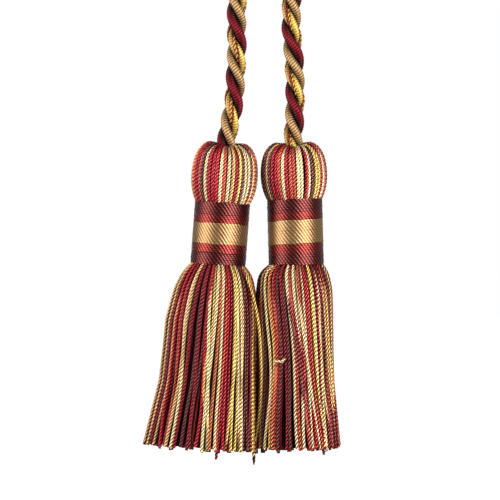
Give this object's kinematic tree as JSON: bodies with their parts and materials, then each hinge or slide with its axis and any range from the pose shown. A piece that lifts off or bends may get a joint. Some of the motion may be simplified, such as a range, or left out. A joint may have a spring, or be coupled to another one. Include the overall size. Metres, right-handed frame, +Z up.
{
  "type": "chair tie with tassels",
  "caption": "Twisted cord chair tie that hangs from its loop, with a striped, thread-bound tassel of multicoloured yarn on each end.",
  "frame": {"origin": "under the crown of the cord's loop, at the point that a peg, rail or finial carries", "axes": "+Z up along the hanging cord, +X from the left tassel to the right one, -Y towards the viewer"},
  "size_m": [0.065, 0.0328, 0.1873],
  "materials": {
    "cord_yarn": "twisted gimp and yarn in burgundy, tan and gold",
    "tassel_yarn": "plied yarn in cream, gold, rust, brick, burgundy and plum",
    "plum_thread": "wound satin thread",
    "brick_thread": "wound satin thread",
    "tan_thread": "wound satin thread"
  },
  "bodies": {
    "root": {"cord": "cord_yarn", "tassel_left": "tassel_yarn", "binding_left_upper_plum": "plum_thread", "binding_left_upper_brick": "brick_thread", "binding_left_tan": "tan_thread", "binding_left_lower_brick": "brick_thread", "binding_left_lower_plum": "plum_thread", "tassel_right": "tassel_yarn", "binding_right_upper_plum": "plum_thread", "binding_right_upper_brick": "brick_thread", "binding_right_tan": "tan_thread", "binding_right_lower_brick": "brick_thread", "binding_right_lower_plum": "plum_thread"}
  },
  "joints": []
}
